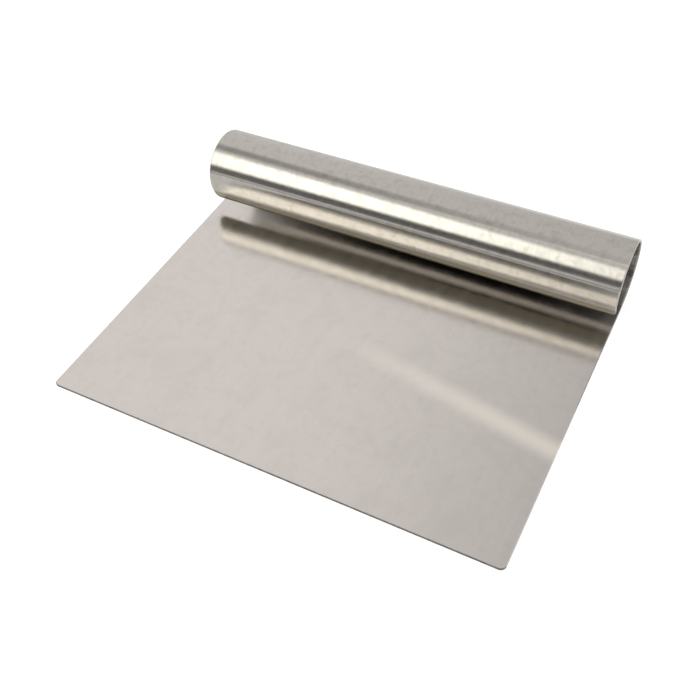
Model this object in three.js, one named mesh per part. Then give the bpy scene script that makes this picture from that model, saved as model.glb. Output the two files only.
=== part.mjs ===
// Dough scraper bent from one steel sheet: a flat blade whose rear is rolled into an open tube, the handle.
// The flat sheet runs on under the handle to the bend line, below the handle's axis. From there the roll
// climbs behind and passes over the top. In front it bends tighter for a short way, the shoulder, then wider,
// and runs straight down to its free edge. The free edge stops above the blade, so a slot is left open between
// the two.
// The handle is hollow and open at both ends.
// The sheet is parted at the bend line, so that the blade and the rolled handle are two pieces.
// Nothing on the tool moves.
//
// Units are millimetres. X runs along the handle, Y from the scraping edge to the handle, Z up.
// The origin is under the middle of the tool, on the table that the blade lies on.

import * as THREE from "three";

// Driving dimensions of the sheet
const bladeWidth = 150;
const sheetThickness = 0.8;
const edgeBreak = 0.12;

// Driving dimensions of the blade
const edgeToHandleAxis = 106.2;
const cornerRadius = 1.7;

// Driving dimensions of the handle, in order from the bend line to the free edge. A bend's facing is the
// angle above the level, in degrees, that the outside of the sheet faces towards the front where it ends.
const handleDiameter = 25.5;
const mainBendFacing = 24;
const shoulderDiameter = 15.2;
const shoulderFacing = 13;
const frontBendDiameter = 28;
const frontBendFacing = -17;
const flatLength = 4.2;
const partingGap = 0.1;

// How finely round stretches are divided: pieces of a corner, and the widest strip of a bend along the sheet
// and in degrees
const cornerSegments = 10;
const stripWidth = 0.9;
const stripTurn = 12;
const edgeBreakSegments = 2;

// Places that follow from the driving dimensions
const handleRadius = handleDiameter / 2;
const overallDepth = edgeToHandleAxis + handleRadius;
const frontY = -overallDepth / 2;
const bendY = frontY + edgeToHandleAxis;
const rearY = bendY - partingGap / 2;
const axisZ = handleRadius;

// The roll's start beside the bend line, as an angle from the back upwards
const rollStart = -Math.PI / 2 + partingGap / 2 / (handleRadius - sheetThickness);

// The stretches of the roll: bends with the diameter of their outside, and straight stretches
const rollStretches = [
  { diameter: handleDiameter, facing: mainBendFacing },
  { diameter: shoulderDiameter, facing: shoulderFacing },
  { diameter: frontBendDiameter, facing: frontBendFacing },
  { length: flatLength },
];

// Stainless steel in the two finishes of the sheet
const steel = (color, roughness) => new THREE.MeshStandardMaterial({ color, roughness, metalness: 1 });
const bladeSteel = steel(0xc8c0bb, 0.32);
const handleSteel = steel(0xb9b3aa, 0.22);

// An outline drawn out to a length, with the edges of both its faces slightly broken.
function drawOut(outline, length) {
  const geometry = new THREE.ExtrudeGeometry(outline, {
    depth: length - 2 * edgeBreak,
    curveSegments: cornerSegments,
    bevelThickness: edgeBreak,
    bevelSize: edgeBreak,
    bevelOffset: -edgeBreak,
    bevelSegments: edgeBreakSegments,
  });
  geometry.translate(0, 0, edgeBreak);
  return geometry;
}

function namedMesh(name, geometry, material) {
  const mesh = new THREE.Mesh(geometry, material);
  mesh.name = name;
  return mesh;
}

// A flat sheet with rounded front corners, cut off square at the bend line.
function makeBlade() {
  const halfWidth = bladeWidth / 2;
  const cornerX = halfWidth - cornerRadius;
  const cornerY = frontY + cornerRadius;
  const outline = new THREE.Shape();
  outline.moveTo(halfWidth, rearY);
  outline.lineTo(-halfWidth, rearY);
  outline.lineTo(-halfWidth, cornerY);
  outline.absarc(-cornerX, cornerY, cornerRadius, Math.PI, 1.5 * Math.PI);
  outline.lineTo(cornerX, frontY);
  outline.absarc(cornerX, cornerY, cornerRadius, 1.5 * Math.PI, 2 * Math.PI);
  outline.closePath();
  return namedMesh("blade", drawOut(outline, sheetThickness), bladeSteel);
}

// The place at an angle and a distance from a middle, across Y and Z.
function placeAround(middle, angle, distance) {
  return new THREE.Vector2(Math.cos(angle), Math.sin(angle)).multiplyScalar(distance).add(middle);
}

// The angles at the ends of a bend's strips, after its start.
function stripAngles(radius, start, end) {
  const turn = end - start;
  const count = Math.ceil(Math.max((turn * radius) / stripWidth, THREE.MathUtils.radToDeg(turn) / stripTurn));
  return Array.from({ length: count }, (_, strip) => start + (turn * (strip + 1)) / count);
}

// One face of the sheet round the roll, at a depth below its outside, from the bend line to the free edge.
function rollFace(depth) {
  let angle = rollStart;
  let outside = placeAround(new THREE.Vector2(bendY, axisZ), angle, handleRadius);
  const face = [placeAround(outside, angle, -depth)];
  for (const stretch of rollStretches) {
    if (stretch.length) {
      outside = placeAround(outside, angle + Math.PI / 2, stretch.length);
      face.push(placeAround(outside, angle, -depth));
      continue;
    }
    const radius = stretch.diameter / 2;
    const middle = placeAround(outside, angle, -radius);
    const angles = stripAngles(radius, angle, Math.PI - THREE.MathUtils.degToRad(stretch.facing));
    face.push(...angles.map((place) => placeAround(middle, place, radius - depth)));
    angle = angles.at(-1);
    outside = placeAround(middle, angle, radius);
  }
  return face;
}

// The sheet's section round the roll, across Y and Z, drawn out along X.
function makeRolledHandle() {
  const section = new THREE.Shape([...rollFace(0), ...rollFace(sheetThickness).reverse()]);
  const geometry = drawOut(section, bladeWidth);
  geometry.translate(0, 0, -bladeWidth / 2);
  const alongX = new THREE.Vector3(1, 0, 0);
  const alongY = new THREE.Vector3(0, 1, 0);
  const alongZ = new THREE.Vector3(0, 0, 1);
  geometry.applyMatrix4(new THREE.Matrix4().makeBasis(alongY, alongZ, alongX));
  return namedMesh("rolled_handle", geometry, handleSteel);
}

const scraper = new THREE.Group();
scraper.add(makeBlade(), makeRolledHandle());

export default scraper;
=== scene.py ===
"""Dough scraper bent from one steel sheet: a satin blade whose rear is rolled into an open tube, the handle.

The tool lies on a white table in a small studio. X runs along the handle, Y from the scraping edge to
the handle and Z up, in metres.
"""

import math

import bmesh
import bpy
from bpy.props import FloatProperty, FloatVectorProperty, IntProperty, PointerProperty
from mathutils import Matrix, Quaternion, Vector


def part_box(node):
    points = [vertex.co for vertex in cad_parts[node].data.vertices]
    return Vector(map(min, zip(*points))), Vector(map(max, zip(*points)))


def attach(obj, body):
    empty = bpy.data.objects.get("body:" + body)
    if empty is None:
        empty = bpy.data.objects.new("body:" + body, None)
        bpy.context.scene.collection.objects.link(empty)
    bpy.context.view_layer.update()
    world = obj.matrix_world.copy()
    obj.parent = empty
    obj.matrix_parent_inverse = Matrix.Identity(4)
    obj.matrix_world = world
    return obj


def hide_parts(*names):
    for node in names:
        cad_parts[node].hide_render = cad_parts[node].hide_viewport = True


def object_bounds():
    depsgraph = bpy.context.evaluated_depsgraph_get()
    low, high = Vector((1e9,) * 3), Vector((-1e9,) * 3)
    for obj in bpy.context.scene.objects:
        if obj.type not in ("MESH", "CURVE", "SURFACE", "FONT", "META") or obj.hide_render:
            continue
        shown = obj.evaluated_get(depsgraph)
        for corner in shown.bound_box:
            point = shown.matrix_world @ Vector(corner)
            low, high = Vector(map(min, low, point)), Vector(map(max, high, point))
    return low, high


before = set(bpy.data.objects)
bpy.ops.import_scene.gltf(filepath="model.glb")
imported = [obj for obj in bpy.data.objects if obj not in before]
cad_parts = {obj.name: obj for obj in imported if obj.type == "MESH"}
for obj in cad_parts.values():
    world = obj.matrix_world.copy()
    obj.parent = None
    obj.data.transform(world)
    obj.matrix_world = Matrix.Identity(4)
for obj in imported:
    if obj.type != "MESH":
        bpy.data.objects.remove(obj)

bl_info = {
    "name": "Dough Scraper",
    "version": (1, 0, 0),
    "blender": (4, 5, 0),
    "location": "3D View > Sidebar > Scraper",
    "description": "Builds a steel dough scraper with a rolled handle, and its table and light",
    "category": "Add Mesh",
}

# Places from the frame
CAD_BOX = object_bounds()
BLADE_LOW, BLADE_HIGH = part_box("blade")
ROLL_LOW, ROLL_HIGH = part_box("rolled_handle")
SHEET_THICKNESS = BLADE_HIGH.z - BLADE_LOW.z
ROLL_RADIUS = (ROLL_HIGH.z - ROLL_LOW.z) / 2
ROLL_AXIS = Vector((0, ROLL_HIGH.y - ROLL_RADIUS, ROLL_LOW.z + ROLL_RADIUS))
ALONG_HANDLE = Vector((1, 0, 0))
ALONG_SHEET = Vector((0, 1, 0))

GRAIN_MAP = "grain"
MICRON = 1e-6

# What counts as the same place, and the lean of a normal on flat faces, front faces and the sheet's sides
MERGE_DISTANCE = 1e-7
FLAT_FACE = 0.999
FRONT_FACE = -0.1
OWN_SIDE = 0.5

# How finely corners and broken edges are rounded
CORNER_SEGMENTS = 20
BREAK_SEGMENTS = 4

# Settings that a user would change

class ScraperSizes(bpy.types.PropertyGroup):
    """Sizes of the scraper's pieces"""

    corner_radius: FloatProperty(
        name="Corner Radius",
        description="Radius of the blade's two front corners",
        default=0.0017,
        precision=4,
        unit="LENGTH",
    )
    edge_break: FloatProperty(
        name="Edge Break",
        description="How far the blade's sharp edges are rounded off",
        default=0.0002,
        precision=5,
        unit="LENGTH",
    )
    main_turn: FloatProperty(
        name="Main Bend",
        description="How far the sheet turns about the handle's axis",
        default=math.radians(246),
        subtype="ANGLE",
    )
    shoulder_radius: FloatProperty(
        name="Shoulder Radius",
        description="Outside radius of the tighter bend at the front of the roll",
        default=0.0076,
        precision=4,
        unit="LENGTH",
    )
    shoulder_turn: FloatProperty(
        name="Shoulder Bend",
        description="How far the sheet turns in the shoulder",
        default=math.radians(11),
        subtype="ANGLE",
    )
    front_radius: FloatProperty(
        name="Front Radius",
        description="Outside radius of the wider bend below the shoulder",
        default=0.014,
        precision=4,
        unit="LENGTH",
    )
    front_turn: FloatProperty(
        name="Front Bend",
        description="How far the sheet turns below the shoulder",
        default=math.radians(30),
        subtype="ANGLE",
    )
    flat_length: FloatProperty(
        name="Flat Length",
        description="Length of the flat stretch that ends at the free edge",
        default=0.0042,
        precision=4,
        unit="LENGTH",
    )
    free_corner: FloatProperty(
        name="Free Edge Corner",
        description="Radius of the two corners of the roll's free edge",
        default=0.0024,
        precision=4,
        unit="LENGTH",
    )
    roll_break: FloatProperty(
        name="Roll Edge Break",
        description="How far the roll's sharp edges are rounded off",
        default=0.00036,
        precision=5,
        unit="LENGTH",
    )
    roll_steps: IntProperty(
        name="Roll Steps",
        description="Number of faces round the roll",
        default=156,
    )


class ScraperFinish(bpy.types.PropertyGroup):
    """Colours and gloss of the scraper's steel"""

    blade_colour: FloatVectorProperty(
        name="Blade",
        description="Colour of the satin sheet",
        default=(0.682, 0.646, 0.612),
        subtype="COLOR",
    )
    # The streak is painted light: a bright streak of reflected light painted into the blade's colour
    painted_streak_colour: FloatVectorProperty(
        name="Streak",
        description="Colour of the buffed streak across the blade",
        default=(0.93, 0.88, 0.79),
        subtype="COLOR",
    )
    # The scraping edge's colour is duller sheared steel, darkened further as painted shade
    edge_colour_and_shade: FloatVectorProperty(
        name="Scraping Edge",
        description="Colour of the blade's sheared front edge",
        default=(0.24, 0.23, 0.215),
        subtype="COLOR",
    )
    # The rim's colour is smoothed steel, lightened as a painted highlight along the roll's edges
    rim_colour_and_highlight: FloatVectorProperty(
        name="Rim",
        description="Colour of the roll's smoothed edges",
        default=(0.74, 0.71, 0.65),
        subtype="COLOR",
    )
    roll_colour: FloatVectorProperty(
        name="Roll",
        description="Colour of the roll's bright outside",
        default=(0.57, 0.55, 0.51),
        subtype="COLOR",
    )
    # The bore's colour is the sheet's steel, darkened as painted shade inside the roll
    bore_colour_and_shade: FloatVectorProperty(
        name="Bore",
        description="Colour of the roll's inside",
        default=(0.4, 0.387, 0.365),
        subtype="COLOR",
    )
    # Smudges are random tone; the same colour also paints the shade towards the roll's free edge
    smudge_and_shade_colour: FloatVectorProperty(
        name="Smudges",
        description="Colour of the brownish smudges on the roll",
        default=(0.33, 0.303, 0.22),
        subtype="COLOR",
    )
    blade_roughness: FloatProperty(
        name="Blade Roughness",
        description="How far the sheet blurs what it mirrors",
        default=0.18,
        subtype="FACTOR",
    )
    roll_roughness: FloatProperty(
        name="Roll Roughness",
        description="How far the roll's outside blurs what it mirrors",
        default=0.25,
        subtype="FACTOR",
    )
    bore_roughness: FloatProperty(
        name="Bore Roughness",
        description="How far the roll's inside blurs what it mirrors",
        default=0.2,
        subtype="FACTOR",
    )


class ScraperStudio(bpy.types.PropertyGroup):
    """Camera, table and light round the scraper"""

    camera_place: FloatVectorProperty(
        name="Camera",
        description="Where the camera stands",
        default=(0.10268, -0.17625, 0.21705),
        subtype="TRANSLATION",
        unit="LENGTH",
    )
    camera_target: FloatVectorProperty(
        name="Target",
        description="The point of the blade in the middle of the picture",
        default=(0.003296, -0.007847, 0.0008),
        subtype="TRANSLATION",
        unit="LENGTH",
    )
    camera_roll: FloatProperty(
        name="Roll",
        description="How far the camera is turned about its line of sight",
        default=math.radians(-4.3086),
        subtype="ANGLE",
    )
    camera_lens: FloatProperty(
        name="Lens",
        description="Focal length, for a sensor 36 mm wide",
        default=47.199,
        unit="CAMERA",
    )
    room_sides: FloatProperty(
        name="Room at the Sides",
        description="Brightness of the room on the left and far right of the table",
        default=0.93,
    )
    room_behind: FloatProperty(
        name="Room Behind",
        description="Brightness of the dim part of the room, behind the table and a little to the right",
        default=0.475,
    )
    softbox_level: FloatProperty(
        name="Softbox",
        description="Brightness of the softbox at the front left, at its left end",
        default=3.5,
    )
    ceiling_level: FloatProperty(
        name="Ceiling Card",
        description="Brightness of the grey card over the table",
        default=0.25,
    )
    flag_level: FloatProperty(
        name="Dark Flag",
        description="Brightness of the dark flags in front of the table",
        default=0.075,
    )
    table_glow: FloatProperty(
        name="Table Glow",
        description="Share of white that the table has without the lamps",
        default=0.8,
        subtype="FACTOR",
    )
    table_mirrored: FloatProperty(
        name="Mirrored Table Glow",
        description="Share of white that the table has without the lamps where the steel mirrors it",
        default=0.56,
        subtype="FACTOR",
    )
    table_colour: FloatVectorProperty(
        name="Table",
        description="Colour of the table under the lamps",
        default=(0.36, 0.36, 0.36),
        subtype="COLOR",
    )


# Nodes

def add_node(tree, kind, settings=None, values=None):
    """Adds a node, sets its settings by name, and its inputs by name or number, as values or links."""
    node = tree.nodes.new(kind)
    for name, setting in (settings or {}).items():
        setattr(node, name, setting)
    for name, value in (values or {}).items():
        if isinstance(value, bpy.types.NodeSocket):
            tree.links.new(value, node.inputs[name])
        else:
            node.inputs[name].default_value = value
    return node


def calculate(tree, operation, first, second=0.0):
    """One step of arithmetic between two values."""
    return add_node(tree, "ShaderNodeMath", {"operation": operation}, {0: first, 1: second}).outputs[0]


def spread(tree, value, low, high, new_low=0.0, new_high=1.0, blend="LINEAR"):
    """Spreads the stretch of a value between low and high over another stretch."""
    ends = {"From Min": low, "From Max": high, "To Min": new_low, "To Max": new_high}
    settings = {"interpolation_type": blend}
    return add_node(tree, "ShaderNodeMapRange", settings, {"Value": value, **ends}).outputs["Result"]


def mix_colours(tree, share, first, second):
    """Mixes two colours, each a link or three numbers, by a share from 0 to 1."""
    colours = [c if isinstance(c, bpy.types.NodeSocket) else (*c, 1.0) for c in (first, second)]
    node = add_node(tree, "ShaderNodeMix", {"data_type": "RGBA"}, {"Factor": share})
    sockets = [socket for socket in node.inputs if socket.type == "RGBA"]
    for socket, colour in zip(sockets, colours):
        if isinstance(colour, bpy.types.NodeSocket):
            tree.links.new(colour, socket)
        else:
            socket.default_value = colour
    return next(socket for socket in node.outputs if socket.type == "RGBA")


def new_group(name, inputs, outputs):
    """A shader node group that puts out values."""
    group = bpy.data.node_groups.new(name, "ShaderNodeTree")
    for socket, kind in inputs:
        group.interface.new_socket(socket, in_out="INPUT", socket_type=kind)
    for socket in outputs:
        group.interface.new_socket(socket, in_out="OUTPUT", socket_type="NodeSocketFloat")
    return group, group.nodes.new("NodeGroupInput"), group.nodes.new("NodeGroupOutput")


def brush_lines_group():
    """Brush lines that run square to X: fine ones, and broad ones a few times as wide."""
    name = "Brush Lines"
    if name in bpy.data.node_groups:
        return bpy.data.node_groups[name]
    inputs = [("Vector", "NodeSocketVector"), ("Across", "NodeSocketFloat"), ("Along", "NodeSocketFloat")]
    group, given, result = new_group(name, inputs, ["Fine", "Broad"])
    across, along = given.outputs["Across"], given.outputs["Along"]
    density = add_node(group, "ShaderNodeCombineXYZ", values={"X": across, "Y": along, "Z": along})
    factors = {0: given.outputs["Vector"], 1: density.outputs[0]}
    vector = add_node(group, "ShaderNodeVectorMath", {"operation": "MULTIPLY"}, factors).outputs[0]
    for socket, scale in (("Fine", 1.0), ("Broad", 0.21)):
        values = {"Vector": vector, "Scale": scale, "Detail": 2.0, "Roughness": 0.6}
        noise = add_node(group, "ShaderNodeTexNoise", values=values).outputs["Fac"]
        group.links.new(spread(group, noise, 0.3, 0.7), result.inputs[socket])
    return group


def smudges_group():
    """Soft uneven patches, so many to the metre: a mask, and a height that rolls gently."""
    name = "Smudges"
    if name in bpy.data.node_groups:
        return bpy.data.node_groups[name]
    inputs = [("Vector", "NodeSocketVector"), ("Patches", "NodeSocketFloat")]
    group, given, result = new_group(name, inputs, ["Mask", "Roll"])
    where = {"Vector": given.outputs["Vector"], "Scale": given.outputs["Patches"]}
    blotches = {**where, "Detail": 4.0, "Roughness": 0.62, "Distortion": 0.4}
    mask = add_node(group, "ShaderNodeTexNoise", values=blotches).outputs["Fac"]
    group.links.new(spread(group, mask, 0.45, 0.72, blend="SMOOTHSTEP"), result.inputs["Mask"])
    rolling = {**where, "Detail": 1.0, "Roughness": 0.4}
    roll = add_node(group, "ShaderNodeTexNoise", values=rolling).outputs["Fac"]
    group.links.new(roll, result.inputs["Roll"])
    return group


def use_group(tree, group, values):
    """Places a node group in a material with its own values."""
    return add_node(tree, "ShaderNodeGroup", {"node_tree": group}, values).outputs


def new_material(name):
    """An empty material with its output node."""
    material = bpy.data.materials.new(name)
    material.use_nodes = True
    material.node_tree.nodes.clear()
    output = material.node_tree.nodes.new("ShaderNodeOutputMaterial")
    return material, material.node_tree, output


def object_vector(tree):
    """Places on a piece, in metres."""
    return tree.nodes.new("ShaderNodeTexCoord").outputs["Object"]


def bump(tree, height):
    """Turns a height in metres into a normal."""
    values = {"Strength": 1.0, "Distance": 1.0, "Height": height}
    return add_node(tree, "ShaderNodeBump", values=values).outputs["Normal"]


def finish_steel(tree, output, colour, roughness, normal, brushed=0.0):
    """Ends a material in one metallic shader, which brushed steel spreads out along the handle."""
    values = {"Base Color": colour, "Roughness": roughness, "Normal": normal, "Metallic": 1.0}
    if brushed:
        settings = {"direction_type": "UV_MAP", "uv_map": GRAIN_MAP}
        values["Tangent"] = add_node(tree, "ShaderNodeTangent", settings).outputs[0]
        values["Anisotropic"] = brushed
    shader = add_node(tree, "ShaderNodeBsdfPrincipled", values=values)
    tree.links.new(shader.outputs[0], output.inputs["Surface"])


def darker(colour, share):
    """A colour at a share of its brightness."""
    return tuple(channel * share for channel in colour)


def weigh(tree, *parts):
    """Adds up values, each given with its weight."""
    total, *others = [calculate(tree, "MULTIPLY", value, weight) for value, weight in parts]
    for other in others:
        total = calculate(tree, "ADD", total, other)
    return total


def uneven_gloss(tree, mask, middle, below, above):
    """A roughness that a mask moves from below its middle value to above it."""
    return spread(tree, mask, 0.0, 1.0, middle - below, middle + above)


# Finishes

# The middle of the painted light streak at its two ends on the blade, and how far it reaches to either side
STREAK_LEFT = Vector((-0.008, -0.0031, 0))
STREAK_RIGHT = Vector((0.0734, -0.0177, 0))
STREAK_WIDTH = 0.006

# The painted shade at the roll's free edge and the dark painted shade line in it: where each starts and is
# full, before the edge
EDGE_SHADE_START, EDGE_SHADE_FULL = 0.0046, 0.003
DARK_LINE_START, DARK_LINE_FULL = 0.0014, 0.0008
EDGE_SHADE_SHARE = 0.9
DARK_LINE_TONE = 0.45

# Brush lines and shear marks, so many to the metre across them and along them
BLADE_LINES = {"Across": 1500.0, "Along": 35.0}
ROLL_LINES = {"Across": 1800.0, "Along": 60.0}
BORE_LINES = {"Across": 1500.0, "Along": 60.0}
SHEAR_MARKS = {"Across": 2500.0, "Along": 300.0}

# Broad and fine patches, so many to the metre
BLADE_PATCHES, BLADE_SPOTS = 70.0, 300.0
ROLL_PATCHES, ROLL_SPECKS = 380.0, 900.0
BORE_PATCHES = 250.0

# Brightness left in brush lines and patches, as a share of the steel's own
BLADE_LINE_TONE, BLADE_PATCH_TONE, BLADE_SPOT_TONE = 0.975, 0.915, 0.91
ROLL_LINE_TONE = 0.95
BORE_LINE_TONE, BORE_PATCH_TONE = 0.93, 0.8
SHEAR_MARK_TONE = 0.6

# How much of each kind of patch shows
BLADE_PATCH_SHARE, BLADE_SPOT_SHARE = 0.6, 0.5
ROLL_PATCH_SHARE, ROLL_SPECK_SHARE = 0.27, 0.1
BORE_PATCH_SHARE = 0.5

# Heights of brush lines, shear marks and gentle waves
BLADE_LINE_HEIGHT = 0.5 * MICRON
SHEAR_MARK_HEIGHT = 6 * MICRON
ROLL_LINE_HEIGHT, ROLL_WAVE_HEIGHT, ROLL_SPECK_HEIGHT = 0.3 * MICRON, 12 * MICRON, 5 * MICRON
BORE_WAVE_HEIGHT = 8 * MICRON

# How strongly brushing spreads what the steel mirrors, and the roughness of cut edges
BLADE_BRUSHED, ROLL_BRUSHED = 0.6, 1.0
CUT_EDGE_ROUGHNESS, RIM_ROUGHNESS = 0.47, 0.3


def painted_light_streak(tree, vector):
    """A soft streak of painted reflected light that slants across the right half of the blade and grows
    stronger to the right.
    """
    place = add_node(tree, "ShaderNodeSeparateXYZ", values={0: vector}).outputs
    ends = STREAK_LEFT.x, STREAK_RIGHT.x
    middle = spread(tree, place["X"], *ends, STREAK_LEFT.y, STREAK_RIGHT.y)
    off = calculate(tree, "ABSOLUTE", calculate(tree, "SUBTRACT", place["Y"], middle))
    across = spread(tree, off, 0.0, STREAK_WIDTH, 1.0, 0.0, "SMOOTHSTEP")
    along = spread(tree, place["X"], *ends)
    return calculate(tree, "MULTIPLY", across, along)


def blade_satin(finish):
    """Satin sheet: faint grain from front to back, soft uneven patches and a painted streak of reflected
    light.
    """
    material, tree, output = new_material("blade satin")
    vector = object_vector(tree)
    grain = use_group(tree, brush_lines_group(), {"Vector": vector, **BLADE_LINES})
    patches = use_group(tree, smudges_group(), {"Vector": vector, "Patches": BLADE_PATCHES})
    spots = use_group(tree, smudges_group(), {"Vector": vector, "Patches": BLADE_SPOTS})
    sheet = finish.blade_colour
    colour = mix_colours(tree, grain["Fine"], sheet, darker(sheet, BLADE_LINE_TONE))
    patchy = weigh(tree, (patches["Mask"], BLADE_PATCH_SHARE))
    colour = mix_colours(tree, patchy, colour, darker(sheet, BLADE_PATCH_TONE))
    spotted = weigh(tree, (spots["Mask"], BLADE_SPOT_SHARE))
    colour = mix_colours(tree, spotted, colour, darker(sheet, BLADE_SPOT_TONE))
    # Painted light: a bright streak of reflected light mixed into the blade's colour
    colour = mix_colours(tree, painted_light_streak(tree, vector), colour, finish.painted_streak_colour)
    roughness = uneven_gloss(tree, grain["Broad"], finish.blade_roughness, below=0.02, above=0.03)
    height = weigh(tree, (grain["Fine"], BLADE_LINE_HEIGHT))
    finish_steel(tree, output, colour, roughness, bump(tree, height), brushed=BLADE_BRUSHED)
    return material


def sheared_edge(name, colour, roughness):
    """Edge of the sheet, with upright shear marks."""
    material, tree, output = new_material(name)
    vector = object_vector(tree)
    marks = use_group(tree, brush_lines_group(), {"Vector": vector, **SHEAR_MARKS})
    shade = mix_colours(tree, marks["Broad"], colour, darker(colour, SHEAR_MARK_TONE))
    gloss = uneven_gloss(tree, marks["Fine"], roughness, below=0.07, above=0.08)
    height = weigh(tree, (marks["Fine"], SHEAR_MARK_HEIGHT))
    finish_steel(tree, output, shade, gloss, bump(tree, height))
    return material


def towards_edge(tree, edge_along, start, full):
    """A share that grows between two lengths before the roll's free edge, along the flat sheet."""
    grain = add_node(tree, "ShaderNodeUVMap", {"uv_map": GRAIN_MAP}).outputs["UV"]
    along = add_node(tree, "ShaderNodeSeparateXYZ", values={0: grain}).outputs["Y"]
    return spread(tree, along, edge_along - start, edge_along - full, blend="SMOOTHSTEP")


def roll_bright(finish, edge_along):
    """Bright outside of the roll: brush lines round it, smudges, fine specks and painted shade at the free
    edge.
    """
    material, tree, output = new_material("roll bright")
    vector = object_vector(tree)
    lines = use_group(tree, brush_lines_group(), {"Vector": vector, **ROLL_LINES})
    smudges = use_group(tree, smudges_group(), {"Vector": vector, "Patches": ROLL_PATCHES})
    specks = use_group(tree, smudges_group(), {"Vector": vector, "Patches": ROLL_SPECKS})
    smudges_and_shade = weigh(tree, (smudges["Mask"], ROLL_PATCH_SHARE), (specks["Mask"], ROLL_SPECK_SHARE))
    # Painted shade: the roll darkens towards its free edge by the blade, and a darker painted shade line runs
    # along the edge
    edge_shade = weigh(tree, (towards_edge(tree, edge_along, EDGE_SHADE_START, EDGE_SHADE_FULL), EDGE_SHADE_SHARE))
    smudges_and_shade = calculate(tree, "MAXIMUM", smudges_and_shade, edge_shade)
    dark_line = towards_edge(tree, edge_along, DARK_LINE_START, DARK_LINE_FULL)
    steel = finish.roll_colour
    colour = mix_colours(tree, lines["Fine"], steel, darker(steel, ROLL_LINE_TONE))
    colour = mix_colours(tree, smudges_and_shade, colour, finish.smudge_and_shade_colour)
    colour = mix_colours(tree, dark_line, colour, darker(finish.smudge_and_shade_colour, DARK_LINE_TONE))
    roughness = uneven_gloss(tree, lines["Broad"], finish.roll_roughness, below=0.01, above=0.02)
    waves = (smudges["Roll"], ROLL_WAVE_HEIGHT), (specks["Roll"], ROLL_SPECK_HEIGHT)
    height = weigh(tree, (lines["Fine"], ROLL_LINE_HEIGHT), *waves)
    finish_steel(tree, output, colour, roughness, bump(tree, height), brushed=ROLL_BRUSHED)
    return material


def roll_bore(finish):
    """Inside of the roll: the sheet's satin face in a darker colour, painted shade inside the roll."""
    material, tree, output = new_material("roll bore")
    vector = object_vector(tree)
    lines = use_group(tree, brush_lines_group(), {"Vector": vector, **BORE_LINES})
    smudges = use_group(tree, smudges_group(), {"Vector": vector, "Patches": BORE_PATCHES})
    # Painted shade: the bore's steel colour is darkened for the shade inside the roll
    steel = finish.bore_colour_and_shade
    colour = mix_colours(tree, lines["Fine"], steel, darker(steel, BORE_LINE_TONE))
    patchy = weigh(tree, (smudges["Mask"], BORE_PATCH_SHARE))
    colour = mix_colours(tree, patchy, colour, darker(steel, BORE_PATCH_TONE))
    roughness = uneven_gloss(tree, lines["Broad"], finish.bore_roughness, below=0.02, above=0.04)
    height = weigh(tree, (smudges["Roll"], BORE_WAVE_HEIGHT))
    finish_steel(tree, output, colour, roughness, bump(tree, height), brushed=ROLL_BRUSHED)
    return material


# Pieces

def new_object(name, bm, materials):
    """Makes an object at the origin from a bmesh, with its place in its mesh."""
    mesh = bpy.data.meshes.new(name)
    bm.to_mesh(mesh)
    bm.free()
    for material in materials:
        mesh.materials.append(material)
    made = bpy.data.objects.new(name, mesh)
    bpy.context.scene.collection.objects.link(made)
    return made


def stand_for(piece, node):
    """The piece rides on the tool and stands for a node, whose part it hides."""
    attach(piece, "root")
    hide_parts(node)


def is_upright(edge):
    """Whether an edge runs through the sheet's thickness."""
    first, second = edge.verts
    return abs(first.co.z - second.co.z) > MERGE_DISTANCE


def lies_at(edge, y):
    """Whether an edge lies on the line across the sheet at y."""
    return all(abs(vert.co.y - y) < MERGE_DISTANCE for vert in edge.verts)


def sheet_shape(start, end, rounded, corner_radius, edge_break):
    """A flat piece of the sheet from start to end along Y, lying on the table.

    rounded is the free end, where both corners are rounded. The other end is cut square for the bend line.
    """
    bm = bmesh.new()
    bmesh.ops.create_cube(bm, size=1.0)
    size = Vector((BLADE_HIGH.x - BLADE_LOW.x, end - start, SHEET_THICKNESS))
    bmesh.ops.scale(bm, vec=size, verts=bm.verts)
    middle = Vector((BLADE_LOW.x, start, BLADE_LOW.z)) + size / 2
    bmesh.ops.translate(bm, vec=middle, verts=bm.verts)
    rounding = {"profile": 0.5, "affect": "EDGES", "material": -1}
    corners = [edge for edge in bm.edges if is_upright(edge) and lies_at(edge, rounded)]
    bmesh.ops.bevel(bm, geom=corners, offset=corner_radius, segments=CORNER_SEGMENTS, **rounding)
    square = start + end - rounded
    outline = [edge for edge in bm.edges if not is_upright(edge) and not lies_at(edge, square)]
    bmesh.ops.bevel(bm, geom=outline, offset=edge_break, segments=BREAK_SEGMENTS, **rounding)
    bmesh.ops.recalc_face_normals(bm, faces=bm.faces)
    for face in bm.faces:
        flat = max(abs(part) for part in face.normal) > FLAT_FACE
        face.smooth = not flat
        face.material_index = 1 if face.normal.y < FRONT_FACE else 0
    return bm


def mark_grain(bm):
    """Lays a map over the sheet while it is flat, in metres along the handle and along the sheet."""
    grain = bm.loops.layers.uv.new(GRAIN_MAP)
    for face in bm.faces:
        for loop in face.loops:
            loop[grain].uv = loop.vert.co.xy


class SCRAPER_OT_blade(bpy.types.Operator):
    """Build the flat blade"""

    bl_idname = "scraper.blade"
    bl_label = "Blade"

    def execute(self, context):
        sizes, finish = context.scene.scraper_sizes, context.scene.scraper_finish
        front, bend = BLADE_LOW.y, ROLL_AXIS.y
        shape = sheet_shape(front, bend, front, sizes.corner_radius, sizes.edge_break)
        mark_grain(shape)
        # The cut edge's dark colour is partly duller sheared steel and partly painted shade
        edge = sheared_edge("cut edge", finish.edge_colour_and_shade, CUT_EDGE_ROUGHNESS)
        piece = new_object("blade_sheet", shape, [blade_satin(finish), edge])
        stand_for(piece, "blade")
        return {"FINISHED"}


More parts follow.
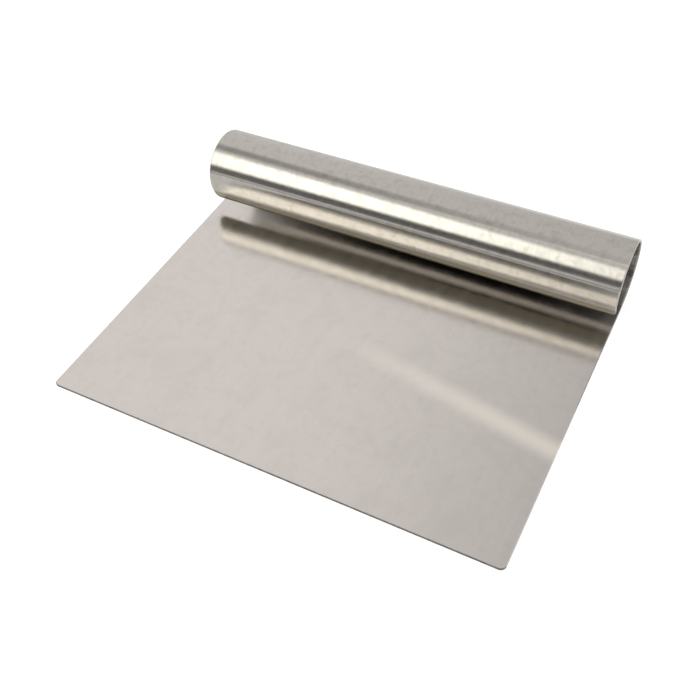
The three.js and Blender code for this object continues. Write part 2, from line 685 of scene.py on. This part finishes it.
def cut_across(bm, place, direction):
    """Divides the faces of a sheet along a plane."""
    geometry = [*bm.verts, *bm.edges, *bm.faces]
    bmesh.ops.bisect_plane(bm, geom=geometry, dist=MERGE_DISTANCE, plane_co=place, plane_no=direction)


def outward(turn):
    """The direction away from a bend's middle after a turn from straight down, rising at the back."""
    return Vector((0, math.sin(turn), -math.cos(turn)))


def onward(turn):
    """The direction along the sheet after a turn."""
    return Vector((0, math.cos(turn), math.sin(turn)))


def roll_plan(sizes):
    """The roll's stretches from the bend line on, each with its length, middle, radius and first turn.

    A flat stretch has no radius, and its middle is a place on its outside.
    """
    bends = [
        (ROLL_RADIUS, sizes.main_turn),
        (sizes.shoulder_radius, sizes.shoulder_turn),
        (sizes.front_radius, sizes.front_turn),
        (None, sizes.flat_length),
    ]
    plan = []
    place, turned = Vector((0, ROLL_AXIS.y, BLADE_LOW.z)), 0.0
    for radius, amount in bends:
        if radius is None:
            plan.append((amount, place, None, turned))
            place = place + onward(turned) * amount
        else:
            middle = place - outward(turned) * radius
            plan.append((amount * (radius - SHEET_THICKNESS / 2), middle, radius, turned))
            turned += amount
            place = middle + outward(turned) * radius
    return plan


def bent_place(plan, along, depth):
    """The place at a length along the roll and a depth below its outside."""
    for length, middle, radius, turned in plan:
        if along <= length + MERGE_DISTANCE:
            break
        along -= length
    if radius is None:
        return middle + onward(turned) * along - outward(turned) * depth
    turn = turned + along / (radius - SHEET_THICKNESS / 2)
    return middle + outward(turn) * (radius - depth)


def free_edge_along(plan):
    """Where the free edge lies along the sheet while it is flat."""
    return ROLL_AXIS.y + sum(stretch[0] for stretch in plan)


def roll_shape(sizes, plan):
    """A flat strip with rounded corners at its free edge, bent up from the bend line into the roll."""
    bend, end = ROLL_AXIS.y, free_edge_along(plan)
    bm = sheet_shape(bend, end, end, sizes.free_corner, sizes.roll_break)
    support = 2 * sizes.roll_break
    for x in (BLADE_LOW.x + support, BLADE_HIGH.x - support):
        cut_across(bm, Vector((x, bend, 0)), ALONG_HANDLE)
    for step in range(1, sizes.roll_steps):
        cut_across(bm, Vector((0, bend + (end - bend) * step / sizes.roll_steps, 0)), ALONG_SHEET)
    cut_across(bm, Vector((0, end - support, 0)), ALONG_SHEET)
    mark_grain(bm)
    for face in bm.faces:
        upward = face.normal.z
        at_bend = abs(face.calc_center_median().y - bend) < MERGE_DISTANCE
        outside = upward < -OWN_SIDE or face.normal.y > OWN_SIDE
        face.smooth = not at_bend
        face.material_index = 0 if outside else 1 if upward > OWN_SIDE else 2
    for vert in bm.verts:
        vert.co.yz = bent_place(plan, vert.co.y - bend, vert.co.z - BLADE_LOW.z).yz
    bm.normal_update()
    return bm


class SCRAPER_OT_handle(bpy.types.Operator):
    """Build the roll of the sheet that is the handle"""

    bl_idname = "scraper.handle"
    bl_label = "Rolled Handle"

    def execute(self, context):
        sizes, finish = context.scene.scraper_sizes, context.scene.scraper_finish
        plan = roll_plan(sizes)
        # The rim's colour is smoothed steel, lightened as a painted highlight
        rim = sheared_edge("roll rim", finish.rim_colour_and_highlight, RIM_ROUGHNESS)
        materials = [roll_bright(finish, free_edge_along(plan)), roll_bore(finish), rim]
        piece = new_object("handle_roll", roll_shape(sizes, plan), materials)
        stand_for(piece, "rolled_handle")
        return {"FINISHED"}


# Stage

# Each lamp or card reaches from its left to its right, and its edges fade out over shares of its two sides
LEVEL = Vector((0, 1, 0))
UPRIGHT = Vector((0, 0, 1))
WHITE = (1, 1, 1)

# The softbox stands at the front left, with its right end farther away and dimmer
SOFTBOX_LEFT = Vector((-0.487, -0.241, 0.34))
SOFTBOX_RIGHT = Vector((0.038, -0.70, 0.766))
SOFTBOX_UP = Vector((0, 0.73, 0.68))
SOFTBOX_HEIGHT = 0.54
SOFTBOX_FADE = (0.15, 0.16)
SOFTBOX_TINT = (1.0, 0.99, 0.93)
SOFTBOX_RIGHT_SHARE = 0.55

# The grey card lies level over the handle
CEILING_LEFT = Vector((-0.9, 0.022, 0.7))
CEILING_RIGHT = Vector((-0.08, 0.022, 0.7))
CEILING_DEPTH = 0.3
CEILING_FADE = (0.3, 0.25)

# The top lamp hangs in front of the card, over the right end of the handle
TOP_LAMP_LEFT = Vector((-0.1, -0.13, 0.7))
TOP_LAMP_RIGHT = Vector((0.5, -0.13, 0.7))
TOP_LAMP_DEPTH = 0.09
TOP_LAMP_FADE = (0.2, 0.4)
TOP_LAMP_LEVEL = 1.3

# The high flag stands behind the softbox and the low one lies on the table, both out of the picture
HIGH_FLAG_LEFT = Vector((-1.6, -1.2, 0.27))
HIGH_FLAG_RIGHT = Vector((0.9, -1.2, 0.69))
HIGH_FLAG_HEIGHT = 0.62
LOW_FLAG_LEFT = Vector((-0.6, -0.39, 0.001))
LOW_FLAG_RIGHT = Vector((0.5, -0.39, 0.001))
LOW_FLAG_DEPTH = 0.55
FLAG_FADE = (0.1, 0.05)

# Where the room changes from bright to dim at the left and from dim to bright at the right, and its tint
ROOM_LEFT = (-0.42, 0.15)
ROOM_RIGHT = (-0.02, 0.3)
ROOM_TINT = (1.0, 0.975, 0.97, 1.0)

TABLE_HALF = 3.0
TABLE_DROP = 0.00005
NEAREST_SEEN = 0.01


def panel_light(name, level, tint, fade, right_share):
    """A glow that falls to a share of its level at the right, with edges that fade out."""
    material, tree, output = new_material(name)
    place = add_node(tree, "ShaderNodeSeparateXYZ", values={0: object_vector(tree)})
    shares = []
    for axis, share in zip("XY", fade):
        to_edge = calculate(tree, "SUBTRACT", 0.5, calculate(tree, "ABSOLUTE", place.outputs[axis]))
        shares.append(spread(tree, to_edge, 0.0, share, blend="SMOOTHSTEP"))
    strength = spread(tree, place.outputs["X"], -0.5, 0.5, level, level * right_share)
    glow = add_node(tree, "ShaderNodeEmission", values={"Color": (*tint, 1.0), "Strength": strength})
    clear = tree.nodes.new("ShaderNodeBsdfTransparent")
    mask = calculate(tree, "MULTIPLY", *shares)
    surface = add_node(tree, "ShaderNodeMixShader", values={0: mask, 1: clear.outputs[0], 2: glow.outputs[0]})
    tree.links.new(surface.outputs[0], output.inputs["Surface"])
    return material


def studio_panel(name, ends, upward, height, level, fade, tint=WHITE, right_share=1.0, lights_table=True):
    """A flat lamp or card between the middles of its two ends, unseen by the camera itself."""
    left, right = ends
    across = right - left
    upward = (upward - upward.project(across)).normalized()
    bm = bmesh.new()
    bmesh.ops.create_grid(bm, x_segments=1, y_segments=1, size=0.5)
    panel = new_object(name, bm, [panel_light(name, level, tint, fade, right_share)])
    facing = across.normalized().cross(upward)
    placing = Matrix((across, upward * height, facing)).transposed().to_4x4()
    placing.translation = (left + right) / 2
    panel.matrix_world = placing
    panel.visible_camera = False
    panel.visible_diffuse = lights_table
    panel.visible_shadow = False


def table_white(studio):
    """White table: the camera and the steel see it lit from within, and it still takes a shadow."""
    material, tree, output = new_material("table white")
    path = tree.nodes.new("ShaderNodeLightPath").outputs
    seen = calculate(tree, "MULTIPLY", path["Is Camera Ray"], studio.table_glow)
    mirrored = calculate(tree, "MULTIPLY", path["Is Glossy Ray"], studio.table_mirrored)
    glow = calculate(tree, "ADD", seen, mirrored)
    inner = add_node(tree, "ShaderNodeEmission", values={"Color": (1, 1, 1, 1), "Strength": glow})
    matt = add_node(tree, "ShaderNodeBsdfDiffuse", values={"Color": (*studio.table_colour, 1.0)})
    both = add_node(tree, "ShaderNodeAddShader", values={0: inner.outputs[0], 1: matt.outputs[0]})
    tree.links.new(both.outputs[0], output.inputs["Surface"])
    return material


def make_table(studio):
    """A wide level table just under the tool."""
    bm = bmesh.new()
    bmesh.ops.create_grid(bm, x_segments=1, y_segments=1, size=TABLE_HALF)
    bmesh.ops.translate(bm, vec=(0, 0, CAD_BOX[0].z - TABLE_DROP), verts=bm.verts)
    new_object("table", bm, [table_white(studio)])


def make_room(studio):
    """An even pale room, brighter on the left and far right."""
    world = bpy.data.worlds.new("Room")
    world.use_nodes = True
    tree = world.node_tree
    tree.nodes.clear()
    direction = tree.nodes.new("ShaderNodeTexCoord").outputs["Generated"]
    sideways = add_node(tree, "ShaderNodeSeparateXYZ", values={0: direction}).outputs["X"]
    left = spread(tree, sideways, *ROOM_LEFT, studio.room_sides, studio.room_behind, "SMOOTHSTEP")
    right = spread(tree, sideways, *ROOM_RIGHT, studio.room_behind, studio.room_sides, "SMOOTHSTEP")
    level = calculate(tree, "MAXIMUM", left, right)
    light = add_node(tree, "ShaderNodeBackground", values={"Color": ROOM_TINT, "Strength": level})
    output = tree.nodes.new("ShaderNodeOutputWorld")
    tree.links.new(light.outputs[0], output.inputs["Surface"])
    bpy.context.scene.world = world


def make_lamps(studio):
    """The softbox, the top lamp and the cards that the steel mirrors."""
    studio_panel("softbox", (SOFTBOX_LEFT, SOFTBOX_RIGHT), SOFTBOX_UP, SOFTBOX_HEIGHT,
                 studio.softbox_level, SOFTBOX_FADE, SOFTBOX_TINT, SOFTBOX_RIGHT_SHARE)
    studio_panel("ceiling card", (CEILING_LEFT, CEILING_RIGHT), LEVEL, CEILING_DEPTH,
                 studio.ceiling_level, CEILING_FADE, lights_table=False)
    studio_panel("top lamp", (TOP_LAMP_LEFT, TOP_LAMP_RIGHT), LEVEL, TOP_LAMP_DEPTH,
                 TOP_LAMP_LEVEL, TOP_LAMP_FADE)
    studio_panel("high flag", (HIGH_FLAG_LEFT, HIGH_FLAG_RIGHT), UPRIGHT, HIGH_FLAG_HEIGHT,
                 studio.flag_level, FLAG_FADE, lights_table=False)
    studio_panel("low flag", (LOW_FLAG_LEFT, LOW_FLAG_RIGHT), LEVEL, LOW_FLAG_DEPTH,
                 studio.flag_level, FLAG_FADE, lights_table=False)


def make_camera(studio):
    """The camera, turned to the middle of the picture and rolled a little."""
    data = bpy.data.cameras.new("camera")
    data.lens = studio.camera_lens
    data.clip_start = NEAREST_SEEN
    camera = bpy.data.objects.new("camera", data)
    place = Vector(studio.camera_place)
    sight = Vector(studio.camera_target) - place
    turn = sight.to_track_quat("-Z", "Y") @ Quaternion((0, 0, 1), studio.camera_roll)
    camera.matrix_world = Matrix.LocRotScale(place, turn, None)
    bpy.context.scene.collection.objects.link(camera)
    bpy.context.scene.camera = camera


class SCRAPER_OT_stage(bpy.types.Operator):
    """Set up the table, the light and the camera"""

    bl_idname = "scraper.stage"
    bl_label = "Stage"

    def execute(self, context):
        studio = context.scene.scraper_studio
        make_table(studio)
        make_room(studio)
        make_lamps(studio)
        make_camera(studio)
        context.scene.view_settings.view_transform = "Standard"
        return {"FINISHED"}


# Add-on

class SCRAPER_PT_panel(bpy.types.Panel):
    """Lists the scraper's settings and the steps that build it"""

    bl_idname = "SCRAPER_PT_panel"
    bl_label = "Dough Scraper"
    bl_space_type = "VIEW_3D"
    bl_region_type = "UI"
    bl_category = "Scraper"

    def draw(self, context):
        scene = context.scene
        for settings in (scene.scraper_sizes, scene.scraper_finish, scene.scraper_studio):
            box = self.layout.box()
            for name in settings.__annotations__:
                box.prop(settings, name)
        for operator in OPERATORS:
            self.layout.operator(operator.bl_idname)


OPERATORS = (SCRAPER_OT_blade, SCRAPER_OT_handle, SCRAPER_OT_stage)
CLASSES = (ScraperSizes, ScraperFinish, ScraperStudio, *OPERATORS, SCRAPER_PT_panel)


def register():
    """Registers the classes and hangs the settings on the scene."""
    for cls in CLASSES:
        bpy.utils.register_class(cls)
    bpy.types.Scene.scraper_sizes = PointerProperty(type=ScraperSizes)
    bpy.types.Scene.scraper_finish = PointerProperty(type=ScraperFinish)
    bpy.types.Scene.scraper_studio = PointerProperty(type=ScraperStudio)


def unregister():
    """Takes the settings off the scene and removes the classes."""
    del bpy.types.Scene.scraper_studio
    del bpy.types.Scene.scraper_finish
    del bpy.types.Scene.scraper_sizes
    for cls in reversed(CLASSES):
        bpy.utils.unregister_class(cls)


def main():
    """Builds the scraper and its stage."""
    register()
    bpy.ops.scraper.blade()
    bpy.ops.scraper.handle()
    bpy.ops.scraper.stage()


if __name__ == "__main__":
    main()
